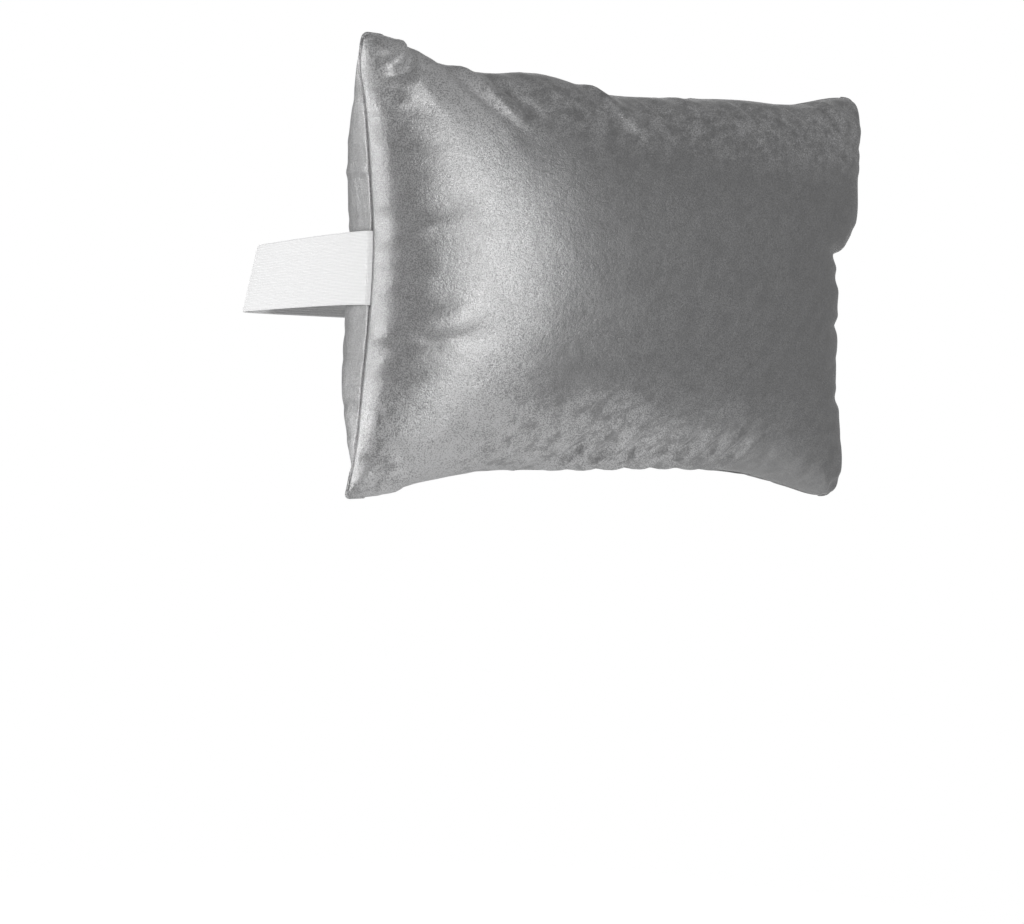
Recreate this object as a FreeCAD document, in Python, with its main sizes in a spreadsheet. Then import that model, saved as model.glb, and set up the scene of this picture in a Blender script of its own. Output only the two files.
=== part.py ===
"""Headrest pillow: a stuffed velvet pillow that a loop of elastic band holds to a seat's headrest.

The frame: +Z up, +X to the right as seen from in front of the pillow, and +Y to the rear, towards the
headrest. The origin is the middle of the flat patch of the rear panel that rests on the headrest.
All sizes are in millimetres.
"""

import FreeCAD
import Part
import Sketcher
import math
import os
from FreeCAD import Vector

SIZES = [
    ("pillow_width", 350, "corner to corner, along X"),
    ("pillow_height", 250, "corner to corner, along Z"),
    ("top_sag", 17, "how far the top seam dips between its corners"),
    ("side_sag", 12, "how far each side seam pulls in between its corners"),
    ("bottom_sag", 16, "how far the bottom seam rises between its corners"),
    ("front_depth", 62, "crown of the front panel before the seam plane"),
    ("rear_depth", 48, "from the seam plane to the flat patch on the headrest"),
    ("rear_crown", 60, "crown that the rear panel would have without the headrest"),
    ("rim_angle", 84, "half angle of the arc that each crown follows, in degrees"),
    ("velvet", 1.0, "thickness of the cover's cloth, pile included"),
    ("allowance", 10, "seam allowance turned into the cover"),
    ("seam_inset", 3.2, "line of stitches, in from the folded edge"),
    ("thread", 0.5, "diameter of the sewing thread"),
    ("stitch", 4.2, "length of one stitch"),
    ("stitch_pitch", 5.0, "from one stitch to the next"),
    ("corner_skip", 12, "seam length at each corner where the rows of stitches cross"),
    ("insert_inset", 16, "inner pillow's edge, in from the cover's edge"),
    ("insert_gap", 0.4, "between the cover and the inner pillow"),
    ("ticking", 0.4, "thickness of the inner pillow's cloth"),
    ("insert_allowance", 6, "seam allowance turned into the inner pillow"),
    ("filling_gap", 0.2, "between the ticking and the fibre"),
    ("strap_width", 40, "width of the elastic band"),
    ("strap_thickness", 1.2, "thickness of the elastic band"),
    ("strap_tail", 8, "band held between the seam allowances"),
    ("strap_stand_off", 2.2, "from the side seam's edge to the inside of the band"),
    ("strap_gap", 0.05, "between the band's tail and the cloth round it"),
    ("loop_depth", 117, "from the flat patch to the inside of the band, for the headrest"),
    ("loop_corner", 40, "outer radius of the band's rear corners"),
    ("fold_radius", 2.0, "outer radius where the band turns out of the seam"),
    ("tack_rows", 3, "rows of stitches that hold each end of the band"),
    ("tack_spacing", 2.2, "from one of these rows to the next"),
    ("zip_length", 200, "straight stretch of the bottom seam that the zip closes"),
    ("zip_recess", 4.2, "middle of the coil above the bottom edge"),
    ("groove_gap", 0.3, "between the slider and each side of the groove that it runs in"),
    ("shoulder_gap", 1.1, "between the slider and the cloth that turns in above it"),
    ("tape_height", 7.2, "width of each zip tape"),
    ("tape_thickness", 0.5, "thickness of each zip tape"),
    ("tape_split", 0.05, "from the middle of the zip to each tape"),
    ("coil_half_width", 1.6, "middle of the zip to the coil's outer turns"),
    ("coil_half_height", 0.8, "middle of the coil to its top"),
    ("coil_overlap", 0.5, "how far each row of turns reaches past the middle"),
    ("coil_wire", 0.8, "diameter of the coil's monofilament"),
    ("coil_pitch", 2.0, "from one turn of a row to the next"),
    ("slider_length", 9, "length of the slider along the zip"),
    ("slider_wall", 0.7, "wall of the slider's body"),
    ("slider_gap", 0.2, "between the slider and what it runs on"),
    ("slider_end", 8, "groove's end to the middle of the slider when the zip is closed"),
    ("lug_width", 1.0, "thickness of the slider's lug"),
    ("lug_drop", 1.4, "pull's axis below the slider's body"),
    ("lug_hole", 0.8, "radius of the hole in the slider's lug"),
    ("lug_wall", 0.6, "metal round the hole in the slider's lug"),
    ("pin_gap", 0.08, "radial clearance of the pull's pin in the lug"),
    ("pull_length", 16, "pull's axis to the far end of its tab"),
    ("pull_width", 4.0, "width of the pull's tab"),
    ("pull_thickness", 1.0, "thickness of the pull's tab"),
    ("cheek_radius", 1.15, "radius of the pull's two cheeks round the pin"),
    ("cheek_width", 0.9, "width of each cheek"),
    ("cheek_gap", 0.1, "between each cheek and the lug"),
    ("pull_reach", 2.2, "pull's axis to where its tab starts"),
    ("stop_length", 1.6, "length of each stop along the zip"),
]

CROWN_STEPS = 16  # surface points from the middle of a crown to each edge
RIM_BLEND = 6  # how quickly a lining leaves the seam allowance's face, as a power
PAST = 1  # how far a cutting box reaches past what it cuts
CLOSE = 0.01  # how near a place two things count as meeting

doc = FreeCAD.newDocument("HeadrestPillow")
sheet = doc.addObject("Spreadsheet::Sheet", "Sizes")
for row, (alias, size, note) in enumerate(SIZES, start=1):
    sheet.set(f"A{row}", note)
    sheet.set(f"B{row}", str(size))
    sheet.setAlias(f"B{row}", alias)
doc.recompute()

nodes = {}  # what is written, by the name of its file


class Values:
    """The sheet's values, read by alias."""

    def __getattr__(self, alias):
        return float(sheet.get(alias))


S = Values()

# Places that several pieces share, written as expressions on the sheet.
BOTTOM_Z = "(-Sizes.pillow_height / 2 + Sizes.bottom_sag)"
EDGE_X = "(Sizes.pillow_width / 2 - Sizes.side_sag)"
COIL_Z = f"({BOTTOM_Z} + Sizes.zip_recess)"
TAPE_LOW = f"({COIL_Z} + Sizes.coil_half_height)"
ZIP_END = "(Sizes.zip_length / 2)"
SLIDER_X = f"({ZIP_END} - Sizes.slider_end)"
TOP_STOP_X = f"({SLIDER_X} + Sizes.slider_length / 2 + Sizes.slider_gap)"
OPEN_X = f"(-{ZIP_END} + Sizes.pull_length + 2 * Sizes.slider_gap)"
BOTTOM_STOP_X = f"({OPEN_X} - Sizes.slider_length / 2 - Sizes.slider_gap)"
SLIDER_HALF = "(Sizes.coil_half_width + Sizes.slider_gap + Sizes.slider_wall)"
SLIDER_RISE = "(Sizes.coil_half_height + Sizes.slider_gap + Sizes.slider_wall)"
PULL_Z = f"({COIL_Z} - {SLIDER_RISE} - Sizes.lug_drop)"
TAPE_OUT = "(Sizes.tape_split + Sizes.tape_thickness)"
GROOVE = f"({SLIDER_HALF} + Sizes.groove_gap)"
SHOULDER = f"(Sizes.zip_recess + {SLIDER_RISE} + Sizes.shoulder_gap)"


def value(expression):
    """The number that an expression on the sheet gives."""
    return float(sheet.evalExpression(expression))


def across(offset):
    """The expression for a place that lies offset from the seam plane along Y."""
    return f"(-Sizes.rear_depth + ({offset}))"


# ---------------------------------------------------------------- building blocks


def keep(name, made):
    """Marks an object as one of the pillow's pieces."""
    made.Label = name
    nodes[name] = made
    return made


def feature(name, shape):
    """A document object that holds a shape made with Part's own functions."""
    made = doc.addObject("Part::Feature", name)
    made.Shape = shape
    return made


def box(name, low, high):
    """A box between two corners, each a triple of expressions."""
    made = doc.addObject("Part::Box", name)
    for side, axis, a, b in zip(("Length", "Width", "Height"), "xyz", low, high):
        made.setExpression(side, f"({b}) - ({a})")
        made.setExpression(f"Placement.Base.{axis}", a)
    return made


def rod_across(name, radius, half_length, x, z):
    """A cylinder along Y, centred on the seam plane."""
    made = doc.addObject("Part::Cylinder", name)
    made.setExpression("Radius", radius)
    made.setExpression("Height", f"2 * ({half_length})")
    made.Placement.Rotation = FreeCAD.Rotation(Vector(1, 0, 0), -90)
    made.setExpression("Placement.Base.x", x)
    made.setExpression("Placement.Base.y", across(f"-({half_length})"))
    made.setExpression("Placement.Base.z", z)
    return made


def cut(name, base, tool):
    made = doc.addObject("Part::Cut", name)
    made.Base = base
    made.Tool = tool
    return made


def fuse(name, *pieces):
    made = doc.addObject("Part::MultiFuse", name)
    made.Shapes = list(pieces)
    return made


def sketch_on(body, name, role, lift):
    """A sketch on one of the body's own origin planes, lifted off it by an expression."""
    plane = next(f for f in body.Origin.OriginFeatures if f.Role == role)
    made = body.newObject("Sketcher::SketchObject", name)
    made.AttachmentSupport = (plane, [""])
    made.MapMode = "FlatFace"
    made.setExpression("AttachmentOffset.Base.z", lift)
    return made


def polygon(sketch, corners):
    """Draws a closed outline whose corners, pairs of expressions, are bound to the sheet."""
    points = [Vector(value(a), value(b), 0) for a, b in corners]
    count = len(points)
    for i in range(count):
        sketch.addGeometry(Part.LineSegment(points[i], points[(i + 1) % count]), False)
    for i in range(count):
        sketch.addConstraint(Sketcher.Constraint("Coincident", i, 2, (i + 1) % count, 1))
        for kind, where, text in zip(("DistanceX", "DistanceY"), points[i], corners[i]):
            limit = sketch.addConstraint(Sketcher.Constraint(kind, -1, 1, i, 1, where))
            sketch.setExpression(f"Constraints[{limit}]", text)


def pad(body, name, sketch, length):
    made = body.newObject("PartDesign::Pad", name)
    made.Profile = sketch
    made.setExpression("Length", length)
    return made


def extrusion(name, role, corners, start, length):
    """A body whose one pad starts at an offset from an origin plane."""
    body = doc.addObject("PartDesign::Body", name)
    sketch = sketch_on(body, f"{name}_outline", role, start)
    polygon(sketch, corners)
    pad(body, f"{name}_pad", sketch, length)
    doc.recompute()
    return body


# ---------------------------------------------------------------- the crowned outline


def bottom_rise(u):
    """Rise of the bottom seam: level over the zip, then curving down to each corner."""
    level = S.zip_length / S.pillow_width
    past = max(0.0, abs(u) - level) / (1 - level)
    return S.bottom_sag * (1 - past**2)


def outline_point(u, v):
    """A point inside the outline, for u and v from -1 to 1, blended from its four edges."""
    top = S.pillow_height / 2 - S.top_sag * (1 - u * u)
    bottom = -S.pillow_height / 2 + bottom_rise(u)
    half_width = S.pillow_width / 2 - S.side_sag * (1 - v * v)
    return u * half_width, bottom * (1 - v) / 2 + top * (1 + v) / 2


def shrink(inset):
    """The scale along X and along Z that brings the outline in by inset."""
    return 1 - 2 * inset / S.pillow_width, 1 - 2 * inset / S.pillow_height


def arc_steps():
    """Steps along a crown's arc: how far out each is, and how high, both as shares."""
    rim = math.radians(S.rim_angle)
    steps = []
    for i in range(-CROWN_STEPS, CROWN_STEPS + 1):
        a = rim * i / CROWN_STEPS
        steps.append((math.sin(a) / math.sin(rim), (math.cos(a) - math.cos(rim)) / (1 - math.cos(rim))))
    return steps


def crown(facing, depth, inset, lining=0.0):
    """The solid under a crowned surface; facing is -1 for the front and 1 for the rear.

    With a lining, the surface lies that far inside the crown of the same depth, and its base lies
    that far from the seam plane instead of in it.
    """
    scale_x, scale_z = shrink(inset)
    grid = []
    for u, out_x in arc_steps():
        column = []
        for v, out_z in arc_steps():
            x, z = outline_point(u, v)
            height = out_x * out_z
            inwards = lining * (1 - 2 * (1 - height) ** RIM_BLEND)
            y = -S.rear_depth + facing * (depth * height - inwards)
            column.append(Vector(x * scale_x, y, z * scale_z))
        grid.append(column)
    surface = Part.BSplineSurface()
    surface.interpolate(grid)
    skin = surface.toShape()
    floor = Part.Face(Part.Wire(Part.__sortEdges__(skin.Edges)))
    shell = Part.makeShell([skin, floor])
    shell.sewShape()
    solid = Part.makeSolid(shell)
    if solid.Volume < 0:
        solid.reverse()
    return solid


def block(x_half, y_low, y_high, z_low, z_high):
    """A box centred on X, between the given places along Y and Z."""
    corner = Vector(-x_half, y_low, z_low)
    return Part.makeBox(2 * x_half, y_high - y_low, z_high - z_low, corner)


def path_length(path):
    return sum(a.distanceToPoint(b) for a, b in zip(path, path[1:]))


def edge_path(inset, edge):
    """Points along one edge of the outline, which is brought in by inset."""
    scale_x, scale_z = shrink(inset)
    steps = [i / (2 * CROWN_STEPS) for i in range(-2 * CROWN_STEPS, 2 * CROWN_STEPS + 1)]
    ends = {
        "top": lambda w: outline_point(w, 1),
        "bottom": lambda w: outline_point(w, -1),
        "left": lambda w: outline_point(-1, w),
        "right": lambda w: outline_point(1, w),
    }
    return [Vector(x * scale_x, 0, z * scale_z) for x, z in (ends[edge](w) for w in steps)]


def outline_prism(inset, y_low, y_high):
    """A straight block along Y with the outline's shape."""
    edges = []
    for edge in ("top", "right", "bottom", "left"):
        curve = Part.BSplineCurve()
        curve.interpolate([Vector(p.x, y_low, p.z) for p in edge_path(inset, edge)])
        edges.append(curve.toShape())
    face = Part.Face(Part.Wire(Part.__sortEdges__(edges)))
    return face.extrude(Vector(0, y_high - y_low, 0))


def half_cover(facing, depth, inset, cloth, turned_in, rest_y):
    """A sewn half: a shell with its seam allowance turned in, flat where it would pass rest_y."""
    seam_y = -S.rear_depth
    far = S.pillow_width
    outer = crown(facing, depth, inset)
    inner = crown(facing, depth, inset + cloth, lining=cloth)
    if facing > 0:
        outer = outer.cut(block(far, rest_y, rest_y + far, -far, far))
        inner = inner.cut(block(far, rest_y - cloth, rest_y + far, -far, far))
    opening = outline_prism(inset + turned_in, seam_y - cloth - PAST, seam_y + cloth + PAST)
    return outer.cut(inner).cut(opening)


# ---------------------------------------------------------------- the velvet cover


def zip_cuts(facing):
    """What is cut from a panel so that the zip lies in a groove and its tape passes inwards."""
    low = value(BOTTOM_Z)
    half = S.zip_length / 2
    middle = -S.rear_depth
    cuts = []
    groove = (value(GROOVE), value(SHOULDER))
    past_allowance = (S.velvet + PAST, S.allowance + S.velvet)
    for reach, height in (groove, past_allowance):
        side = sorted((middle, middle + facing * reach))
        cuts.append(block(half, *side, low - PAST, low + height))
    return cuts


def zip_facing(facing):
    """The cloth of one panel that turns up inside the groove and is sewn to the zip's tape."""
    low = value(BOTTOM_Z)
    top = value(TAPE_LOW) + S.tape_height - low
    half = S.zip_length / 2
    cloth = S.velvet
    groove = value(GROOVE)
    shoulder = value(SHOULDER)
    tape = value(TAPE_OUT)
    section = [
        (groove + cloth, cloth),
        (groove, cloth),
        (groove, shoulder),
        (tape, shoulder),
        (tape, top),
        (tape + cloth, top),
        (tape + cloth, shoulder + cloth),
        (groove + cloth, shoulder + cloth),
    ]
    points = [Vector(-half, -S.rear_depth + facing * y, low + z) for y, z in section]
    return Part.Face(Part.makePolygon(points + points[:1])).extrude(Vector(2 * half, 0, 0))


def tail_room():
    """The space that the band's two tails take between the seam allowances."""
    reach = S.strap_tail + S.strap_gap
    half_y = S.strap_thickness / 2 + S.strap_gap
    half_z = S.strap_width / 2 + S.strap_gap
    edge = value(EDGE_X)
    rooms = []
    for side in (-1, 1):
        inner, outer = sorted((side * (edge - reach), side * (edge + reach)))
        corner = Vector(inner, -S.rear_depth - half_y, -half_z)
        rooms.append(Part.makeBox(outer - inner, 2 * half_y, 2 * half_z, corner))
    return rooms


def panel(name, facing, depth):
    shape = half_cover(facing, depth, 0, S.velvet, S.allowance, 0)
    for space in zip_cuts(facing) + tail_room():
        shape = shape.cut(space)
    keep(name, feature(name, shape.fuse(zip_facing(facing))))


def stitches(path, start, end, y):
    """Rods end to end, along the part of a path that lies between two lengths."""
    length_at = [0.0]
    for a, b in zip(path, path[1:]):
        length_at.append(length_at[-1] + a.distanceToPoint(b))

    def at(length):
        i = next((k for k, far in enumerate(length_at) if far >= length), len(path) - 1)
        i = max(i, 1)
        share = (length - length_at[i - 1]) / (length_at[i] - length_at[i - 1])
        return path[i - 1] + (path[i] - path[i - 1]) * share

    rods = []
    count = int((end - start) // S.stitch_pitch)
    spare = (end - start - count * S.stitch_pitch) / 2
    for i in range(count):
        low = start + spare + (i + (1 - S.stitch / S.stitch_pitch) / 2) * S.stitch_pitch
        a = at(low)
        b = at(low + S.stitch)
        a.y = b.y = y
        rods.append(Part.makeCylinder(S.thread / 2, (b - a).Length, a, b - a))
    return rods


def seam_threads():
    """The rows of stitches that close the cover, one row to each edge."""
    y = -S.rear_depth - S.velvet - S.thread / 2
    for edge in ("top", "bottom", "left", "right"):
        path = edge_path(S.seam_inset, edge)
        total = path_length(path)
        stretches = [(S.corner_skip, total - S.corner_skip)]
        if edge == "bottom":
            before_zip = (total - S.zip_length) / 2 - S.stitch_pitch
            stretches = [(S.corner_skip, before_zip), (total - before_zip, total - S.corner_skip)]
        rods = []
        for start, end in stretches:
            rods += stitches(path, start, end, y)
        name = f"seam_thread_{edge}"
        keep(name, feature(name, Part.makeCompound(rods)))


# ---------------------------------------------------------------- the inner pillow


def inner_pillow():
    back = -S.velvet - S.insert_gap
    front_depth = S.front_depth - S.velvet - S.insert_gap
    rear_depth = S.rear_crown - S.velvet - S.insert_gap
    sewn = (S.insert_inset, S.ticking, S.insert_allowance)
    front = half_cover(-1, front_depth, *sewn, back)
    rear = half_cover(1, rear_depth, *sewn, back)
    keep("insert_case_front", feature("insert_case_front", front))
    keep("insert_case_rear", feature("insert_case_rear", rear))

    lining = S.ticking + S.filling_gap
    edge = S.insert_inset + S.insert_allowance + 2 * S.filling_gap
    far = 2 * S.pillow_width
    behind = block(far, back - lining, back + far, -far, far)
    rear_half = crown(1, rear_depth - lining, edge + S.filling_gap).cut(behind)
    fibre = crown(-1, front_depth - lining, edge).fuse(rear_half)
    keep("insert_filling", feature("insert_filling", fibre))

    y = -S.rear_depth - S.ticking - S.thread / 2
    rods = []
    for edge_name in ("top", "bottom", "left", "right"):
        path = edge_path(S.insert_inset + S.seam_inset, edge_name)
        rods += stitches(path, S.corner_skip, path_length(path) - S.corner_skip, y)
    keep("insert_seam_thread", feature("insert_seam_thread", Part.makeCompound(rods)))


# ---------------------------------------------------------------- the elastic band


def strap_outline():
    """Corners of the band as seen from above, before its corners are rounded."""
    inner_x = f"({EDGE_X} + Sizes.strap_stand_off)"
    outer_x = f"({inner_x} + Sizes.strap_thickness)"
    tail_x = f"({EDGE_X} - Sizes.strap_tail)"
    front_y = across("-Sizes.strap_thickness / 2")
    fold_y = across("Sizes.strap_thickness / 2")
    span_in = "Sizes.loop_depth"
    span_out = "(Sizes.loop_depth + Sizes.strap_thickness)"
    right = [
        (tail_x, fold_y),
        (tail_x, front_y),
        (outer_x, front_y),
        (outer_x, span_out),
    ]
    left = [(f"-{x}", y) for x, y in reversed(right)]
    inner = [
        (f"-{inner_x}", fold_y),
        (f"-{inner_x}", span_in),
        (inner_x, span_in),
        (inner_x, fold_y),
    ]
    return right + left + inner


def upright_edges(shape, x, y):
    """Names of the upright edges at plus or minus x, and y."""
    found = []
    for i, edge in enumerate(shape.Edges, start=1):
        middle = edge.CenterOfMass
        upright = abs(edge.BoundBox.ZLength - edge.Length) < CLOSE
        if upright and abs(abs(middle.x) - x) < CLOSE and abs(middle.y - y) < CLOSE:
            found.append(f"Edge{i}")
    return found


def strap():
    body = extrusion(
        "elastic_strap", "XY_Plane", strap_outline(),
        "-Sizes.strap_width / 2", "Sizes.strap_width",
    )
    inner_x = value(EDGE_X) + S.strap_stand_off
    outer_x = inner_x + S.strap_thickness
    fold_y = -S.rear_depth
    loop_inside = "Sizes.loop_corner - Sizes.strap_thickness"
    fold_inside = "Sizes.fold_radius - Sizes.strap_thickness"
    rounds = [
        ("rear_outer", outer_x, S.loop_depth + S.strap_thickness, "Sizes.loop_corner"),
        ("rear_inner", inner_x, S.loop_depth, loop_inside),
        ("fold_outer", outer_x, fold_y - S.strap_thickness / 2, "Sizes.fold_radius"),
        ("fold_inner", inner_x, fold_y + S.strap_thickness / 2, fold_inside),
    ]
    for name, x, y, radius in rounds:
        base = body.Tip
        made = body.newObject("PartDesign::Fillet", f"strap_{name}")
        made.Base = (base, upright_edges(base.Shape, x, y))
        made.setExpression("Radius", radius)
        doc.recompute()
    keep("elastic_strap", body)


def strap_tacks():
    """Short upright rows of stitches that hold each tail of the band to the rear allowance."""
    y = -S.rear_depth + S.velvet + S.thread / 2
    edge = value(EDGE_X)
    for name, side in (("left", -1), ("right", 1)):
        rods = []
        for i in range(int(S.tack_rows)):
            x = side * (edge - S.seam_inset - i * S.tack_spacing)
            path = [Vector(x, 0, -S.strap_width / 2), Vector(x, 0, S.strap_width / 2)]
            rods += stitches(path, 0, S.strap_width, y)
        keep(f"strap_tack_{name}", feature(f"strap_tack_{name}", Part.makeCompound(rods)))


# ---------------------------------------------------------------- the zip


def zip_half(name, side):
    """One tape and its row of turns; side is - in front of the seam plane and + behind it."""
    low = f"(-{ZIP_END})"
    inner = across(f"{side} Sizes.tape_split")
    outer = across(f"{side} {TAPE_OUT}")
    top = f"({TAPE_LOW} + Sizes.tape_height)"
    tape = extrusion(
        f"zip_tape_{name}", "YZ_Plane",
        [(inner, TAPE_LOW), (outer, TAPE_LOW), (outer, top), (inner, top)],
        low, "Sizes.zip_length",
    )
    keep(f"zip_tape_{name}", tape)

    start = f"({BOTTOM_STOP_X} + Sizes.slider_gap)"
    shift = "0" if side == "-" else "Sizes.coil_pitch / 2"
    core_low = f"({COIL_Z} - Sizes.coil_wire / 2)"
    core_high = f"({COIL_Z} + Sizes.coil_wire / 2)"
    core_in = across(f"{side} (Sizes.coil_half_width - Sizes.coil_wire)")
    core_out = across(f"{side} Sizes.coil_half_width")
    coil = extrusion(
        f"zip_coil_{name}", "YZ_Plane",
        [(core_in, core_low), (core_out, core_low), (core_out, core_high), (core_in, core_high)],
        start, f"{TOP_STOP_X} - {start} - Sizes.slider_gap",
    )
    turn = sketch_on(coil, f"zip_turn_{name}", "YZ_Plane", f"{start} + {shift}")
    turn_in = across(f"{side} -Sizes.coil_overlap")
    turn_mid = across(f"{side} (Sizes.coil_half_width - Sizes.coil_half_height)")
    low_z = f"({COIL_Z} - Sizes.coil_half_height)"
    polygon(turn, [
        (turn_in, core_low), (turn_mid, low_z), (core_out, core_low),
        (core_out, core_high), (turn_mid, TAPE_LOW), (across(f"{side} Sizes.tape_split"), TAPE_LOW),
        (turn_in, core_high),
    ])
    first = pad(coil, f"zip_turn_pad_{name}", turn, "Sizes.coil_wire")
    doc.recompute()
    rows = coil.newObject("PartDesign::LinearPattern", f"zip_turns_{name}")
    rows.Originals = [first]
    rows.Direction = (next(f for f in coil.Origin.OriginFeatures if f.Role == "X_Axis"), [""])
    span = value(TOP_STOP_X) - value(start) - S.slider_gap - S.coil_pitch - S.coil_wire
    steps = int(span // S.coil_pitch)
    rows.Length = steps * S.coil_pitch
    rows.Occurrences = steps + 1
    coil.Tip = rows
    doc.recompute()
    keep(f"zip_coil_{name}", coil)

    cloth = S.velvet
    sign = -1 if side == "-" else 1
    y = -S.rear_depth + sign * (value(TAPE_OUT) + cloth + S.thread / 2)
    z = (value(BOTTOM_Z) + value(SHOULDER) + cloth + value(TAPE_LOW) + S.tape_height) / 2
    half = S.zip_length / 2
    rods = stitches([Vector(-half, 0, z), Vector(half, 0, z)], 0, S.zip_length, y)
    keep(f"zip_stitching_{name}", feature(f"zip_stitching_{name}", Part.makeCompound(rods)))


def zip_stops():
    """A pair of stops at the closed end and one across both rows at the open end."""
    low_z = f"({COIL_Z} - Sizes.coil_half_height)"
    stops = []
    for name, side in (("front", "-"), ("rear", "+")):
        ends = [across(f"{side} Sizes.coil_half_width"), across(f"{side} Sizes.tape_split")]
        if side == "+":
            ends.reverse()
        stops.append(box(
            f"top_stop_{name}",
            (TOP_STOP_X, ends[0], low_z),
            (f"{TOP_STOP_X} + Sizes.stop_length", ends[1], TAPE_LOW),
        ))
    pair = doc.addObject("Part::Compound", "top_stops")
    pair.Links = stops
    keep("zip_top_stops", pair)
    keep("zip_bottom_stop", box(
        "bottom_stop",
        (f"{BOTTOM_STOP_X} - Sizes.stop_length", across("-Sizes.coil_half_width"), low_z),
        (BOTTOM_STOP_X, across("Sizes.coil_half_width"), TAPE_LOW),
    ))


def zip_slider():
    """A channel that runs over both rows of turns, with a lug below for the pull."""
    start = f"({SLIDER_X} - Sizes.slider_length / 2)"
    end = f"({SLIDER_X} + Sizes.slider_length / 2)"
    wall = "Sizes.slider_wall"
    hollow_half = f"({SLIDER_HALF} - {wall})"
    hollow_rise = f"({SLIDER_RISE} - {wall})"
    slot = f"({TAPE_OUT} + Sizes.slider_gap)"
    shell = box(
        "slider_block",
        (start, across(f"-{SLIDER_HALF}"), f"{COIL_Z} - {SLIDER_RISE}"),
        (end, across(SLIDER_HALF), f"{COIL_Z} + {SLIDER_RISE}"),
    )
    channel = box(
        "slider_channel",
        (f"{start} - {PAST}", across(f"-{hollow_half}"), f"{COIL_Z} - {hollow_rise}"),
        (f"{end} + {PAST}", across(hollow_half), f"{COIL_Z} + {hollow_rise}"),
    )
    opening = box(
        "slider_slot",
        (f"{start} - {PAST}", across(f"-{slot}"), COIL_Z),
        (f"{end} + {PAST}", across(slot), f"{COIL_Z} + {SLIDER_RISE} + {PAST}"),
    )
    lug_radius = "(Sizes.lug_hole + Sizes.lug_wall)"
    inside_wall = f"{COIL_Z} - {SLIDER_RISE} + {wall} / 2"
    neck = box(
        "slider_neck",
        (f"{SLIDER_X} - {lug_radius}", across("-Sizes.lug_width / 2"), PULL_Z),
        (f"{SLIDER_X} + {lug_radius}", across("Sizes.lug_width / 2"), inside_wall),
    )
    eye = rod_across("slider_eye", lug_radius, "Sizes.lug_width / 2", SLIDER_X, PULL_Z)
    hole = rod_across("slider_hole", "Sizes.lug_hole", "Sizes.lug_width", SLIDER_X, PULL_Z)
    hollowed = cut("slider_hollowed", cut("slider_open", shell, channel), opening)
    keep("zip_slider", cut("slider", fuse("slider_with_lug", hollowed, neck, eye), hole))


def pull_tab():
    """The pull: a pin and two cheeks round the lug, and a tab that lies along the closed zip."""
    cheek_out = "(Sizes.lug_width / 2 + Sizes.cheek_gap + Sizes.cheek_width)"
    cheek_in = "(Sizes.lug_width / 2 + Sizes.cheek_gap)"
    pin = rod_across("pull_pin", "Sizes.lug_hole - Sizes.pin_gap", cheek_out, SLIDER_X, PULL_Z)
    hub = rod_across("pull_hub", "Sizes.cheek_radius", cheek_out, SLIDER_X, PULL_Z)
    room = rod_across("pull_room", "2 * Sizes.cheek_radius", cheek_in, SLIDER_X, PULL_Z)
    cheeks = cut("pull_cheeks", hub, room)
    half = "(Sizes.pull_thickness / 2)"
    arms = box(
        "pull_arms",
        (f"{SLIDER_X} - Sizes.pull_reach - {half}", across(f"-{cheek_out}"), f"{PULL_Z} - {half}"),
        (SLIDER_X, across(cheek_out), f"{PULL_Z} + {half}"),
    )
    arm_room = box(
        "pull_arm_room",
        (f"{SLIDER_X} - Sizes.pull_reach", across(f"-{cheek_in}"), f"{PULL_Z} - {PAST}"),
        (f"{SLIDER_X} + {PAST}", across(cheek_in), f"{PULL_Z} + {PAST}"),
    )
    tab = box(
        "pull_plate",
        (f"{SLIDER_X} - Sizes.pull_length", across("-Sizes.pull_width / 2"), f"{PULL_Z} - {half}"),
        (f"{SLIDER_X} - Sizes.pull_reach", across("Sizes.pull_width / 2"), f"{PULL_Z} + {half}"),
    )
    forked = cut("pull_fork", arms, arm_room)
    keep("zip_pull_tab", fuse("pull", pin, cheeks, forked, tab))


# ---------------------------------------------------------------- build, check and write


def build():
    panel("front_panel", -1, S.front_depth)
    panel("rear_panel", 1, S.rear_crown)
    seam_threads()
    inner_pillow()
    strap()
    strap_tacks()
    zip_half("front", "-")
    zip_half("rear", "+")
    zip_stops()
    zip_slider()
    pull_tab()
    doc.recompute()


def check():
    """Stops if any object of the document failed, or a piece has no sound shape."""
    for item in doc.Objects:
        if "Invalid" in item.State or "Error" in item.State:
            raise RuntimeError(f"{item.Name} failed: {item.State}")
    for name, made in nodes.items():
        if made.Shape.isNull() or not made.Shape.isValid():
            raise RuntimeError(f"{name} has no sound shape")


def write():
    os.makedirs("parts", exist_ok=True)
    for name, made in nodes.items():
        made.Shape.exportStep(f"parts/{name}.step")
        print(f"{name}: {len(made.Shape.Solids)} solids, {made.Shape.Volume:.1f} mm3")


build()
check()
write()
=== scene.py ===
"""The looks of the headrest pillow: velvet cover, elastic band, inner pillow, zip, light and camera.

Lengths are in metres, in the CAD model's frame: +X right, +Y to the headrest, +Z up.
The cover starts as a crowned form on the seam's outline, and a cloth simulation inflates it to the
size that its two flat panels were cut to. Folds and the seam's own detail are added afterwards.
"""

import math

import bpy
import numpy as np
from mathutils import Matrix, Vector


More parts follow.
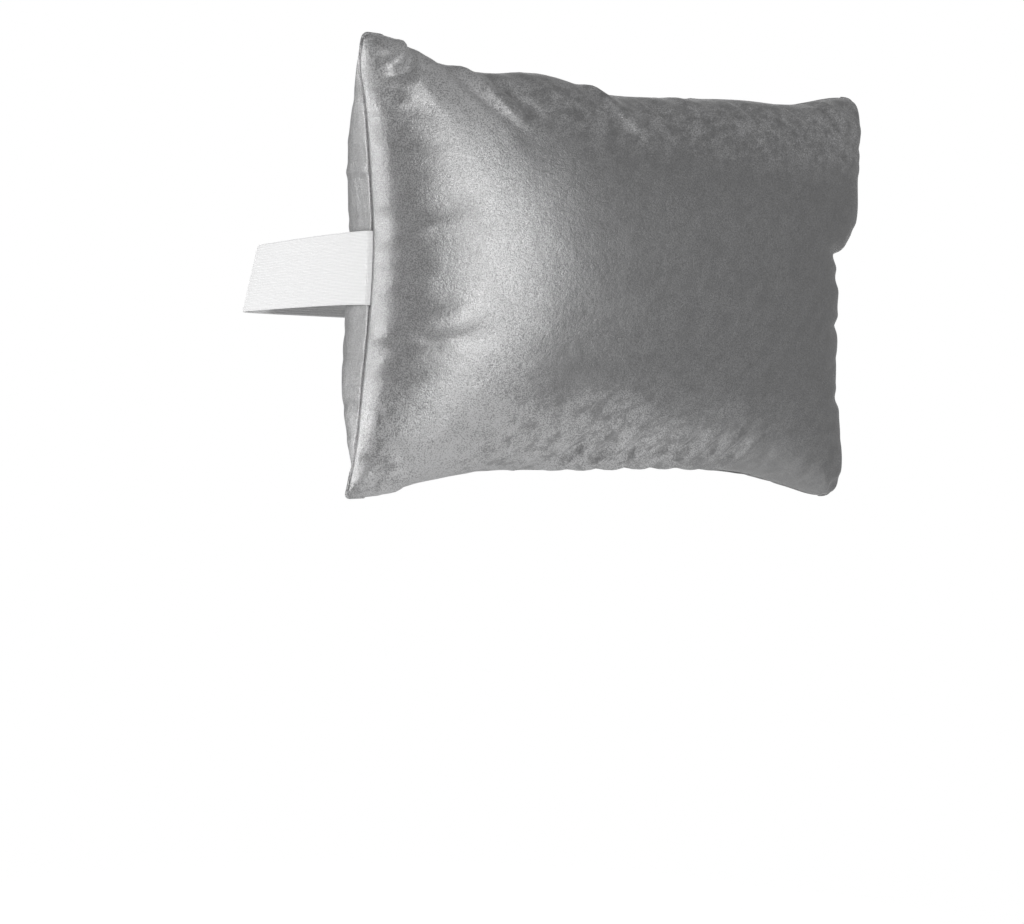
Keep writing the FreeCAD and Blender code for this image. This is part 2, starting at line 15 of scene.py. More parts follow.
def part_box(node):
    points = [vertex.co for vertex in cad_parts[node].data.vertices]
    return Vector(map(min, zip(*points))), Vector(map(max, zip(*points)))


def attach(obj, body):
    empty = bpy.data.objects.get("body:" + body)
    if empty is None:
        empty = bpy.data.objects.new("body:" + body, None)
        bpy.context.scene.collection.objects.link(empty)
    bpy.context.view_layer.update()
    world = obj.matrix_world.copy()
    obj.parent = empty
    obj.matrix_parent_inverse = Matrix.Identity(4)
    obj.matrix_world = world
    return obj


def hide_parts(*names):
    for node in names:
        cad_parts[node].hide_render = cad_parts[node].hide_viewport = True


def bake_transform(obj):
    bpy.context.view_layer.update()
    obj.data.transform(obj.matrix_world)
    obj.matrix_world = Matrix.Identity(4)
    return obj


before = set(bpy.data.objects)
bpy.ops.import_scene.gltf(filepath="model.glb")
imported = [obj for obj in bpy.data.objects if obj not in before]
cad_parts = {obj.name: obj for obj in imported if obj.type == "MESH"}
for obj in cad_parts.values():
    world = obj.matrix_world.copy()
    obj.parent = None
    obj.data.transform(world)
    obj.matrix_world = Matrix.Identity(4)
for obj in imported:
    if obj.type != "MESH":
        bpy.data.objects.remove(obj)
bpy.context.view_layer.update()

MM = 0.001

# ---------------------------------------------------------------- sizes, from the frame

PANEL_LOW, PANEL_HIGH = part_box("front_panel")
STRAP_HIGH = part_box("elastic_strap")[1]
SEAM_Y = PANEL_HIGH.y
HALF_WIDTH = PANEL_HIGH.x
HALF_HEIGHT = PANEL_HIGH.z
FRONT_DEPTH = SEAM_Y - PANEL_LOW.y
REST_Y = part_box("rear_panel")[1].y
ZIP_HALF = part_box("zip_tape_front")[1].x

# The seam's outline, as offsets in millimetres: inwards from the line between two corners, at a
# place from -1 to 1 along it. Each list needs a point only where the seam changes its bend.
TOP_SAG = [(-1, 0), (-0.91, 0.5), (-0.77, 9.5), (-0.55, 13), (-0.4, 10), (-0.15, 16.5), (0.1, 15),
           (0.45, 10), (0.7, 8.5), (0.92, 0.5), (1, 0)]
BOTTOM_SAG = [(-1, 0), (-0.9, 1), (-0.77, 7), (-0.57, 13.5), (-0.2, 15.5), (0.15, 17), (0.4, 16),
              (0.6, 12.5), (0.78, 5.5), (0.9, 0.5), (1, 0)]
LEFT_SAG = [(-1, 0), (-0.85, 3.5), (-0.5, 7), (-0.18, 9.5), (0.17, 9.5), (0.42, 6.5), (0.7, 2),
            (0.88, -2), (1, 0)]
RIGHT_SAG = [(-1, 2), (-0.88, 1), (-0.66, 8), (-0.42, 16), (-0.1, 19), (0.12, 22.5), (0.19, 21.5),
             (0.31, 10), (0.6, 5), (0.88, 1), (1, 1)]

LEFT_CORNER = 3 * MM  # radius of the two left corners, pulled to a point
RIGHT_CORNER = 9 * MM  # and of the two right corners
ACROSS = 140  # squares of cloth along X
UPWARDS = 100  # squares of cloth along Z
CUT_WIDTH = 0.358  # each flat panel as cut, seam to seam
CUT_HEIGHT = 0.268
START_CROWN = 0.8  # how high the front starts, as a share of its depth
START_ROUND = 0.4  # how full its start form is: 0 is a box and 1 a low dome
FRAMES = 30  # of the simulation, until the cloth rests
SIDE_POWER = 6  # how boxed the rear cloth is towards the side seams
EDGE_POWER = 2.4  # and towards the top and bottom seams
PROFILE_STEPS = 4000  # how finely that profile is measured
CLOTH_THICK = 0.7 * MM
SEAM_INSET = 3.2 * MM  # the seam's row of stitches, in from the rim
EAR = 34 * MM  # how far from each corner its ear stays thin


def through(points, at):
    """A smooth curve through the points of an outline list, read at the places in at."""
    x = np.array([p[0] for p in points], float)
    y = np.array([p[1] for p in points], float)
    slope = np.gradient(y, x)
    k = np.clip(np.searchsorted(x, at, side="right") - 1, 0, len(x) - 2)
    width = x[k + 1] - x[k]
    t = (at - x[k]) / width
    low = (2 * t**3 - 3 * t**2 + 1) * y[k] + (t**3 - 2 * t**2 + t) * width * slope[k]
    high = (3 * t**2 - 2 * t**3) * y[k + 1] + (t**3 - t**2) * width * slope[k + 1]
    return low + high


def smooth(low, high, value):
    """0 below low, 1 above high, and a smooth turn between them."""
    t = np.clip((value - low) / (high - low), 0, 1)
    return t * t * (3 - 2 * t)


def outline_at(u, v):
    """X and Z of cloth points, spread between the four edges of the outline, with rounded corners."""
    left = -HALF_WIDTH + MM * through(LEFT_SAG, v)
    right = HALF_WIDTH - MM * through(RIGHT_SAG, v)
    low = -HALF_HEIGHT + MM * through(BOTTOM_SAG, u)
    high = HALF_HEIGHT - MM * through(TOP_SAG, u)
    x = left * (1 - u) / 2 + right * (1 + u) / 2
    z = low * (1 - v) / 2 + high * (1 + v) / 2
    radius = np.where(u > 0, RIGHT_CORNER, LEFT_CORNER)
    a = np.clip(1 - (1 - np.abs(u)) * HALF_WIDTH / radius, 0, 1)
    b = np.clip(1 - (1 - np.abs(v)) * HALF_HEIGHT / radius, 0, 1)
    x = x - np.sign(u) * radius * a * (1 - np.sqrt(1 - b * b / 2))
    z = z - np.sign(v) * radius * b * (1 - np.sqrt(1 - a * a / 2))
    return x, z


# ---------------------------------------------------------------- mesh helpers


def make_object(name, points, faces):
    mesh = bpy.data.meshes.new(name)
    mesh.from_pydata([tuple(p) for p in points], [], faces)
    mesh.validate()
    mesh.update()
    piece = bpy.data.objects.new(name, mesh)
    bpy.context.scene.collection.objects.link(piece)
    mesh.shade_smooth()
    return piece


def grid_faces(rows, columns, flip=False, close=False):
    """Quads of a grid whose points are numbered row by row; close joins the last column to the first."""
    faces = []
    for r in range(rows - 1):
        for c in range(columns if close else columns - 1):
            d = (c + 1) % columns
            quad = [r * columns + c, (r + 1) * columns + c, (r + 1) * columns + d, r * columns + d]
            faces.append(quad[::-1] if flip else quad)
    return faces


def modify(piece, kind, **settings):
    """Adds a modifier and applies it."""
    added = piece.modifiers.new(kind.lower(), kind)
    for key, value in settings.items():
        setattr(added, key, value)
    graph = bpy.context.evaluated_depsgraph_get()
    mesh = bpy.data.meshes.new_from_object(piece.evaluated_get(graph))
    piece.modifiers.clear()
    old = piece.data
    piece.data = mesh
    mesh.name = piece.name
    bpy.data.meshes.remove(old)
    return piece


def rods(name, spans, radius, sides=8):
    """One object of short round-ended threads, each from a to b."""
    rings = [("a", -0.6, 0.55), ("a", 0.2, 1.0), ("b", -0.2, 1.0), ("b", 0.4, 0.55)]
    points = []
    faces = []
    for a, b in spans:
        ends = {"a": Vector(a), "b": Vector(b)}
        along = (ends["b"] - ends["a"]).normalized()
        first = along.orthogonal().normalized()
        second = along.cross(first)
        start = len(points)
        for end, past, width in rings:  # the place past each end, and the width, in radii
            centre = ends[end] + along * radius * past
            for s in range(sides):
                angle = 2 * math.pi * s / sides
                offset = first * math.cos(angle) + second * math.sin(angle)
                points.append(centre + offset * radius * width)
        for face in grid_faces(len(rings), sides, close=True):
            faces.append([start + k for k in face][::-1])
        faces.append([start + s for s in range(sides)][::-1])
        faces.append([start + (len(rings) - 1) * sides + s for s in range(sides)])
    return make_object(name, points, faces)


# ---------------------------------------------------------------- the inflated cover


def rim_loop():
    """Grid places round the rim, anticlockwise from the lower left corner as seen from the front."""
    loop = [(i, 0) for i in range(ACROSS)]
    loop += [(ACROSS, j) for j in range(UPWARDS)]
    loop += [(i, UPWARDS) for i in range(ACROSS, 0, -1)]
    loop += [(0, j) for j in range(UPWARDS, 0, -1)]
    return loop


def boxed_profile(steps, power, half_span, depth):
    """Places from -1 to 1 across a span, and heights from 0 to 1, evenly spaced along the cloth.

    The profile is a superellipse: the higher its power, the steeper its sides and flatter its top.
    """
    angle = np.linspace(0, math.pi, PROFILE_STEPS + 1)
    place = -np.sign(np.cos(angle)) * np.abs(np.cos(angle)) ** (2 / power)
    height = np.sin(angle) ** (2 / power)
    height[0] = height[-1] = 0
    step = np.hypot(np.diff(place) * half_span, np.diff(height) * depth)
    length = np.concatenate([[0], np.cumsum(step)])
    even = np.linspace(0, length[-1], steps + 1)
    return np.interp(even, length, place), np.interp(even, length, height)


def rear_form():
    """The rear cloth: steep at the side seams, rounder at the top and bottom, flat on the headrest."""
    depth = REST_Y - SEAM_Y
    u, rise_u = boxed_profile(ACROSS, SIDE_POWER, HALF_WIDTH, depth)
    v, rise_v = boxed_profile(UPWARDS, EDGE_POWER, HALF_HEIGHT, depth)
    x, z = outline_at(u[:, None], v[None, :])
    from_side = (1 - np.abs(u))[:, None] * HALF_WIDTH
    from_end = (1 - np.abs(v))[None, :] * HALF_HEIGHT
    from_corner = np.hypot(from_side, from_end)
    fill = rise_u[:, None] * rise_v[None, :] * (1 - np.exp(-((from_corner / EAR) ** 2)))
    return np.stack([x, SEAM_Y + depth * fill, z], axis=2)


def inflate():
    """Positions of the front cloth, ACROSS + 1 by UPWARDS + 1 points, swelled by its filling."""
    u = np.linspace(-1, 1, ACROSS + 1)[:, None]
    v = np.linspace(-1, 1, UPWARDS + 1)[None, :]
    x, z = outline_at(u, v)
    height = ((1 - u**2) * (1 - v**2)) ** START_ROUND
    start = np.stack([x, SEAM_Y - FRONT_DEPTH * START_CROWN * height, z], axis=2)
    cut_x, cut_z = np.broadcast_arrays(u * CUT_WIDTH / 2, v * CUT_HEIGHT / 2)
    cut = np.stack([cut_x, np.full(height.shape, SEAM_Y), cut_z], axis=2)
    columns = UPWARDS + 1
    rim = [i * columns + j for i, j in rim_loop()]
    cloth = make_object("cloth_being_inflated", start.reshape(-1, 3), grid_faces(ACROSS + 1, columns))
    settled = simulate(cloth, cut.reshape(-1, 3), rim)
    bpy.data.objects.remove(cloth)
    return settled.reshape(start.shape)


PRESSURE = 3  # of the filling
VELVET_SHEET = {  # how the front behaves as cloth
    "quality": 7,
    "mass": 0.3,
    "tension_stiffness": 25,
    "compression_stiffness": 25,
    "shear_stiffness": 4,
    "bending_stiffness": 0.05,
    "tension_damping": 8,
    "compression_damping": 8,
    "shear_damping": 8,
    "bending_damping": 0.5,
    "air_damping": 2,
}


def simulate(cloth, cut, rim):
    """Presses the cloth outwards against the size it was cut to, with its rim held, and reads it back."""
    cloth.shape_key_add(name="Basis")
    flat = cloth.shape_key_add(name="cut")
    flat.data.foreach_set("co", cut.astype(np.float32).ravel())
    group = cloth.vertex_groups.new(name="rim")
    group.add(rim, 1.0, "REPLACE")
    modifier = cloth.modifiers.new("inflate", "CLOTH")
    settings = modifier.settings
    for key, value in VELVET_SHEET.items():
        setattr(settings, key, value)
    settings.use_pressure = True
    settings.uniform_pressure_force = PRESSURE
    settings.vertex_group_mass = "rim"
    settings.pin_stiffness = 20
    settings.rest_shape_key = flat
    settings.effector_weights.gravity = 0
    modifier.collision_settings.use_collision = False
    modifier.point_cache.frame_start = 1
    modifier.point_cache.frame_end = FRAMES
    scene = bpy.context.scene
    for f in range(1, FRAMES + 1):
        scene.frame_set(f)
    graph = bpy.context.evaluated_depsgraph_get()
    settled = cloth.evaluated_get(graph).data
    co = np.zeros(len(settled.vertices) * 3)
    settled.vertices.foreach_get("co", co)
    scene.frame_set(1)
    return co.reshape(-1, 3)


def fit_depth(half):
    """Scales the front's crown to the CAD model's depth."""
    out = half.copy()
    lift = SEAM_Y - half[..., 1]
    out[..., 1] = SEAM_Y - lift * FRONT_DEPTH / lift.max()
    return out


# Each fold of the front, in millimetres: the X and Z of its start near the seam and of its far end, its
# height (negative is a valley), its half width, and how far it bows to one side.
FRONT_FOLDS = [
    # the upper left ear: a crease across it, the dent beside it and the pleats below
    ((-150, 124), (-178, 100), -6.0, 4.0, -8),
    ((-158, 128), (-148, 108), 1.8, 3.0, 1),
    ((-176, 98), (-142, 78), -1.0, 9.0, 3),
    ((-172, 82), (-150, 92), 1.2, 3.6, 0),
    ((-170, 72), (-142, 62), -1.0, 6.0, 2),
    # beside the band, where its pull gathers the seam
    ((-168, 24), (-122, 44), -1.0, 8.0, 4),
    ((-168, 12), (-142, 28), 1.2, 4.0, 2),
    ((-168, -4), (-146, 1), -1.3, 6.0, 1),
    ((-166, -20), (-122, -10), -1.0, 8.0, 3),
    ((-166, -38), (-112, -16), 1.5, 9.0, 4),
    ((-170, -46), (-104, -36), -1.5, 6.5, -5),
    ((-170, -62), (-140, -54), -1.2, 5.0, 1),
    # the lower left corner
    ((-176, -104), (-150, -96), -2.0, 4.0, 2),
    ((-166, -128), (-156, -104), -2.6, 3.6, -2),
    ((-156, -126), (-142, -106), 2.0, 4.0, 1),
    ((-140, -122), (-122, -104), -1.4, 5.0, 1),
    # the top edge, folds that run down to the right
    ((-136, 116), (-98, 80), -2.6, 5.0, 3),
    ((-124, 114), (-88, 76), 2.6, 4.6, 3),
    ((-108, 112), (-76, 80), -3.2, 5.0, 3),
    ((-92, 116), (-64, 94), 1.6, 6.0, 1),
    ((-44, 110), (-2, 74), 3.2, 8.0, 3),
    ((-8, 112), (20, 78), -2.8, 6.0, 2),
    ((16, 114), (44, 94), 1.6, 6.0, 1),
    ((58, 116), (78, 96), -1.8, 5.0, 1),
    # the two right corners and the notch that the band pulls in
    ((104, 116), (126, 98), -2.6, 6.0, 2),
    ((130, 124), (152, 104), 2.6, 6.0, 2),
    ((164, 96), (142, 92), -1.2, 6.0, 1),
    ((162, 20), (118, 28), -4.2, 5.5, 2),
    ((162, 4), (126, 0), 1.6, 7.0, 1),
    ((160, -14), (130, -26), -1.6, 6.0, 1),
    ((166, -60), (138, -66), -1.8, 6.0, 1),
    ((160, -124), (140, -104), 1.8, 6.0, 1),
    # the ends of the bottom edge
    ((-104, -118), (-88, -98), -1.6, 4.5, 1),
    ((-78, -116), (-66, -100), -1.4, 4.0, 1),
    ((104, -120), (122, -102), -1.4, 5.0, 1),
]
# The pleats along the middle of the bottom edge, in millimetres
PLEATS = 7
PLEAT_START = (-58, -108)  # X and Z where the first one starts
PLEAT_STEP = 19  # from each pleat to the next
PLEAT_REACH = (19, 26)  # how far it runs along X and Z
PLEAT_VALLEY = -4.6
PLEAT_RIDGE = 3.4
PLEAT_WIDTH = 3.6
PLEAT_SPLIT = 0.4  # how far the ridge stands beside its valley, as a share of the step

# The small gathers all round each panel, in millimetres
PUCKERS = 48
PUCKER_PLACE = (0.15, 0.85)  # where each starts in its own stretch of the rim
PUCKER_OUTSIDE = 2  # how far outside the rim it starts
PUCKER_REACH = (14, 34)
PUCKER_HEIGHT = (0.3, 1.2)
PUCKER_WIDTH = (3.0, 5.0)
PUCKER_BOW = 1.5
PUCKER_SLANT = 0.7  # how far a gather leans, as a share of its reach
PUCKER_VALLEYS = 0.65  # the share of them that are valleys
PUCKERS_TO = 0.93  # how near the corners they come, as a share of the half edge

# Along each fold, from 0 at its start to 1 at its far end: where it rises and where it dies away
FOLD_RISE = (-0.08, 0.12)
FOLD_FADE = (0.3, 1.1)
FOLD_SPREAD = (0.7, 1.3)  # how wide it is at its start and at its far end
FOLD_RIDGES = 0.9  # how much the cloth beside a fold goes the other way
SLANT = 0.25  # how much steeper one flank of a fold is
RIM_FLAT = 3 * MM  # within which of the rim every fold ends


def pleats():
    """Short slanted pleats at the bottom seam, each a valley with a ridge beside it."""
    folds = []
    for k in range(PLEATS):
        for height, beside in ((PLEAT_VALLEY, 0), (PLEAT_RIDGE, PLEAT_SPLIT * PLEAT_STEP)):
            x, z = PLEAT_START[0] + k * PLEAT_STEP + beside, PLEAT_START[1]
            folds.append(((x, z), (x + PLEAT_REACH[0], z + PLEAT_REACH[1]), height, PLEAT_WIDTH, 1))
    return folds


def cloth_normals(half):
    """Unit normals of a cloth grid, pointing away from the filling."""
    across = np.gradient(half, axis=0)
    upwards = np.gradient(half, axis=1)
    normal = np.cross(across, upwards)
    normal /= np.linalg.norm(normal, axis=2)[..., None] + 1e-12
    if half[..., 1].mean() > SEAM_Y:
        normal = -normal
    return normal


def puckers(seed):
    """Small gathers at even steps round the rim, each with its own length, slant and height."""
    random = np.random.default_rng(seed)
    folds = []
    for k in range(PUCKERS):
        turn = 4 * (k + random.uniform(*PUCKER_PLACE)) / PUCKERS
        side, place = int(turn), 2 * (turn % 1) - 1
        if abs(place) > PUCKERS_TO:
            continue
        u, v = [(place, -1), (1, place), (-place, 1), (-1, -place)][side]
        x, z = outline_at(np.array([u]), np.array([v]))
        start = Vector((x[0] / MM, z[0] / MM))
        inwards = Vector((0 if side in (0, 2) else -u, 0 if side in (1, 3) else -v))
        slant = Vector((inwards.y, -inwards.x)) * random.uniform(-PUCKER_SLANT, PUCKER_SLANT)
        end = start + (inwards + slant) * random.uniform(*PUCKER_REACH)
        height = random.uniform(*PUCKER_HEIGHT) * (-1 if random.random() < PUCKER_VALLEYS else 1)
        width = random.uniform(*PUCKER_WIDTH)
        bow = random.uniform(-PUCKER_BOW, PUCKER_BOW)
        folds.append((tuple(start - inwards * PUCKER_OUTSIDE), tuple(end), height, width, bow))
    return folds


def add_folds(half, folds):
    """Presses each fold into the cloth along its normal, tapering to the fold's far end."""
    x = half[..., 0] / MM
    z = half[..., 2] / MM
    lift = np.zeros(x.shape)
    for (x0, z0), (x1, z1), height, width, bow in folds:
        dx, dz = x1 - x0, z1 - z0
        length = math.hypot(dx, dz)
        along = ((x - x0) * dx + (z - z0) * dz) / length**2
        off = ((x - x0) * dz - (z - z0) * dx) / length
        off = off - bow * np.sin(np.clip(along, 0, 1) * math.pi)
        q = off / (width * np.interp(along, (0, 1), FOLD_SPREAD))
        q = q * (1 + SLANT * np.tanh(2 * q))
        taper = smooth(*FOLD_RISE, along) * (1 - smooth(*FOLD_FADE, along))
        lift += height * taper * (1 - FOLD_RIDGES * q * q) * np.exp(-q * q)
    u = np.abs(np.linspace(-1, 1, half.shape[0]))[:, None]
    v = np.abs(np.linspace(-1, 1, half.shape[1]))[None, :]
    from_rim = np.minimum((1 - u) * HALF_WIDTH, (1 - v) * HALF_HEIGHT)
    lift *= smooth(0, RIM_FLAT, from_rim)
    return half + cloth_normals(half) * (lift * MM)[..., None]


def outward_normals(ring):
    """Unit directions in the seam plane that point away from the pillow, at each rim point."""
    step = np.roll(ring, -1, axis=0) - np.roll(ring, 1, axis=0)
    normal = np.stack([step[:, 2], np.zeros(len(ring)), -step[:, 0]], axis=1)
    for _ in range(3):
        normal = (np.roll(normal, 1, axis=0) + 2 * normal + np.roll(normal, -1, axis=0)) / 4
    return normal / np.linalg.norm(normal, axis=1)[:, None]


# The turned-in edge of each panel, row by row in millimetres: how far it lies from the seam plane,
# and how far in from the rim.
PLAIN_EDGE = [(0.45, 0.0), (0.08, 0.8), (0.08, 3.2), (0.08, 5.6), (0.08, 8.0)]
STRAP_EDGE = [(1.3, 0.0), (0.72, 0.8), (0.72, 3.2), (0.72, 5.6), (0.72, 8.0)]
ZIP_EDGE = [(2.9, 0.0), (2.9, 3.4), (2.9, 7.0), (0.62, 7.5), (0.62, 12.0)]
ZIP_EASE = (-1 * MM, 5 * MM)  # from the zip's end, where its edge turns into the plain one
STRAP_EASE = (-1 * MM, 3 * MM)  # and the same from the band's edges
SIDE_FROM = 0.8  # the share of the half width past which the rim is a side seam


def edge_rows(ring):
    """The rows of points that turn the front's edge inwards; the rear mirrors them."""
    normal = outward_normals(ring)
    x, z = ring[:, 0], ring[:, 2]
    at_zip = (z < -HALF_HEIGHT / 2) * (1 - smooth(*ZIP_EASE, np.abs(x) - ZIP_HALF))
    at_strap = (np.abs(x) > SIDE_FROM * HALF_WIDTH) * (1 - smooth(*STRAP_EASE, np.abs(z) - STRAP_HIGH.z))
    rows = []
    for plain, strap, zipped in zip(PLAIN_EDGE, STRAP_EDGE, ZIP_EDGE):
        away, inwards = [
            plain[k] + (strap[k] - plain[k]) * at_strap + (zipped[k] - plain[k]) * at_zip
            for k in (0, 1)
        ]
        row = ring - normal * inwards[:, None] * MM
        row[:, 1] = SEAM_Y - away * MM
        rows.append(row)
    return rows


def cover_panel(name, half, side):
    """One velvet panel with its edge turned in, as a sheet with the cloth's thickness."""
    rows, columns = half.shape[:2]
    loop = rim_loop()
    ring = np.array([half[i, j] for i, j in loop])
    turned = edge_rows(ring)
    points = half.reshape(-1, 3).copy()
    for (i, j), p in zip(loop, turned[0]):
        points[i * columns + j] = (p[0], SEAM_Y + side * abs(p[1] - SEAM_Y), p[2])
    faces = grid_faces(rows, columns, flip=side > 0)
    previous = [i * columns + j for i, j in loop]
    parts = [points]
    count = len(points)
    for row in turned[1:]:
        row = row.copy()
        row[:, 1] = SEAM_Y + side * np.abs(row[:, 1] - SEAM_Y)
        parts.append(row)
        current = list(range(count, count + len(loop)))
        for k in range(len(loop)):
            m = (k + 1) % len(loop)
            quad = [previous[k], current[k], current[m], previous[m]]
            faces.append(quad if side < 0 else quad[::-1])
        previous = current
        count += len(loop)
    panel = make_object(name, np.concatenate(parts), faces)
    modify(panel, "SUBSURF", levels=1)
    modify(panel, "SOLIDIFY", thickness=CLOTH_THICK, offset=-1.0)
    panel.data.shade_smooth()
    return panel


# ---------------------------------------------------------------- the elastic band

STRAP_HALF = STRAP_HIGH.z
STRAP_THICK = 1.2 * MM
STRAP_CORNER = 39.4 * MM  # radius of the middle of the band where it turns behind the headrest
STRAP_FOLD = 2.4 * MM  # and where it turns out of the side seam
STRAP_TAIL = 8 * MM  # the length of each end that the seam holds
STRAP_DROP = 6 * MM  # how much lower the band lies behind the headrest
STRAP_LEAN = 0.22  # how much further out its lower edge lies there, as a share of its width
STRAP_BOW = 8 * MM  # how far each side bows outwards on its way to the rear
STRAP_PULL = 80 * MM  # how far back from the seam the band still bends in to meet it
PATH_STEPS = {"tail": 3, "fold": 6, "side": 45, "corner": 25, "rear": 39}
RIBS = 26
RIB_STEPS = 4  # points across each rib
RIB_HEIGHT = 0.22 * MM
SELVEDGE = 0.8 * MM  # how far in from its edges the band is rounded
SELVEDGE_THIN = 0.08  # the square of how thin it is there, against its middle
BOW_FROM = SEAM_Y + 8 * MM
BOW_TO = STRAP_HIGH.y - 50 * MM
PULL_FROM = SEAM_Y + 2 * MM


def seam_reach(side, heights):
    """How far out the side seam lies at each height; side is -1 at the left and 1 at the right."""
    v = np.array(heights) / HALF_HEIGHT
    return np.abs(outline_at(np.full(len(v), float(side)), v)[0])


def strap_path():
    """Points along the middle of the band as seen from above, from its left tail to its right."""
    middle_x = STRAP_HIGH.x - STRAP_THICK / 2
    rear_y = STRAP_HIGH.y - STRAP_THICK / 2
    corner, fold = STRAP_CORNER, STRAP_FOLD

    def steps(part, low, high):
        return np.linspace(low, high, PATH_STEPS[part] + 1)[1:]

    points = [(middle_x - fold - STRAP_TAIL, SEAM_Y)]
    for x in steps("tail", middle_x - fold - STRAP_TAIL, middle_x - fold):
        points.append((x, SEAM_Y))
    for a in steps("fold", 0, math.pi / 2):
        points.append((middle_x - fold + fold * math.sin(a), SEAM_Y + fold * (1 - math.cos(a))))
    for y in steps("side", SEAM_Y + fold, rear_y - corner):
        points.append((middle_x, y))
    for a in steps("corner", 0, math.pi / 2):
        points.append((middle_x - corner + corner * math.cos(a), rear_y - corner + corner * math.sin(a)))
    for x in steps("rear", middle_x - corner, 0):
        points.append((x, rear_y))
    right = [Vector((x, y, 0)) for x, y in points]
    left = [Vector((-p.x, p.y, 0)) for p in right[:-1]]
    return left + right[::-1]


def strap_section():
    """Distance from the middle of the band, and height, round its ribbed outline."""
    steps = RIBS * RIB_STEPS
    outer = []
    for k in range(steps + 1):
        z = STRAP_HALF * (2 * k / steps - 1)
        edge = min(1.0, (STRAP_HALF - abs(z)) / SELVEDGE)
        rib = (1 - math.cos(2 * math.pi * k / RIB_STEPS)) / 2
        outer.append((STRAP_THICK / 2 * math.sqrt(max(SELVEDGE_THIN, edge)) + RIB_HEIGHT * (rib - 1), z))
    return outer + [(-o, z) for o, z in outer[::-1]]


def elastic_band():
    """The band, swept along its path; it starts at both seams, and bows, drops and leans further back."""
    path = strap_path()
    ring = strap_section()
    count = len(ring)
    points = []
    places = []
    length = 0
    seam = {side: seam_reach(side, [z for _, z in ring]) for side in (-1, 1)}
    for k, p in enumerate(path):
        before = path[max(0, k - 1)]
        after = path[min(len(path) - 1, k + 1)]
        along = (after - before).normalized()
        length += (p - before).length
        out = Vector((-along.y, along.x, 0))
        share = float(smooth(SEAM_Y, STRAP_HIGH.y, p.y))
        side = max(-1.0, min(1.0, p.x / (STRAP_HIGH.x - STRAP_CORNER)))
        bow = STRAP_BOW * side * float(smooth(BOW_FROM, BOW_TO, p.y))
        hand = 1 if p.x > 0 else -1
        pull = 1 - float(smooth(PULL_FROM, SEAM_Y + STRAP_PULL, p.y))
        for (o, z), reach in zip(ring, seam[hand]):
            q = p + out * o
            slack = hand * (STRAP_HIGH.x - STRAP_FOLD - reach) * pull
            x = q.x + bow - slack - side * z * STRAP_LEAN * share
            points.append((x, q.y, z - STRAP_DROP * share))
            places.append((length, z))
    faces = grid_faces(len(path), count, close=True)
    faces.append(list(range(count)))
    faces.append([(len(path) - 1) * count + k for k in range(count)][::-1])
    band = make_object("elastic_band", points, faces)
    layer = band.data.uv_layers.new(name="along_and_across")
    for corner in band.data.loops:
        layer.data[corner.index].uv = places[corner.vertex_index]
    return band


# ---------------------------------------------------------------- stitches and the inner pillow

STITCH = 4.2 * MM
STITCH_PITCH = 5 * MM
THREAD = 0.25 * MM  # radius of the sewing thread
CORNER_SKIP = 12 * MM
SEAM_THREAD_Y = SEAM_Y - 1.4 * MM
TACK_THREAD_Y = SEAM_Y + 1.6 * MM
TACK_ROWS = 3
TACK_FROM = 1.4 * MM  # from the seam's own row to the first row of tacks
TACK_GAP = 2.2 * MM
EDGE_POINTS = 400


def edge_line(edge, inset, shrink=(1, 1)):
    """Points along one edge of the pillow's outline, brought in by inset."""
    w = np.linspace(-1, 1, EDGE_POINTS)
    one = np.ones(EDGE_POINTS)
    u, v = {"top": (w, one), "bottom": (w, -one), "left": (-one, w), "right": (one, w)}[edge]
    x, z = outline_at(u, v)
    line = np.stack([x * shrink[0], SEAM_Y * one, z * shrink[1]], axis=1)
    if edge in ("top", "bottom"):
        line[:, 2] -= np.sign(v) * inset
    else:
        line[:, 0] -= np.sign(u) * inset
    return line


def stitch_spans(line, y, skip):
    """Ends of each stitch along a line, leaving out the stretches that skip gives."""
    length = np.concatenate([[0], np.cumsum(np.linalg.norm(np.diff(line, axis=0), axis=1))])
    spans = []
    for low in np.arange(CORNER_SKIP, length[-1] - CORNER_SKIP - STITCH, STITCH_PITCH):
        ends = [[np.interp(t, length, line[:, k]) for k in (0, 2)] for t in (low, low + STITCH)]
        if any(skip(x, z) for x, z in ends):
            continue
        spans.append([(x, y, z) for x, z in ends])
    return spans


def cover_stitches(edge):
    """The row that closes one edge of the cover, on the front panel's seam allowance."""
    def at_zip(x, z):
        return edge == "bottom" and abs(x) < ZIP_HALF + STITCH_PITCH

    line = edge_line(edge, SEAM_INSET)
    return rods(f"cover_stitches_{edge}", stitch_spans(line, SEAM_THREAD_Y, at_zip), THREAD)


def tack_stitches(name, side):
    """Short upright rows that hold one tail of the band."""
    spans = []
    for row in range(TACK_ROWS):
        inwards = SEAM_INSET + TACK_FROM + row * TACK_GAP
        for z in np.arange(-STRAP_HALF + MM, STRAP_HALF - STITCH, STITCH_PITCH):
            ends = (z, z + STITCH)
            out = seam_reach(side, ends) - inwards
            spans.append([(side * x, TACK_THREAD_Y, height) for x, height in zip(out, ends)])
    return rods(name, spans, THREAD)


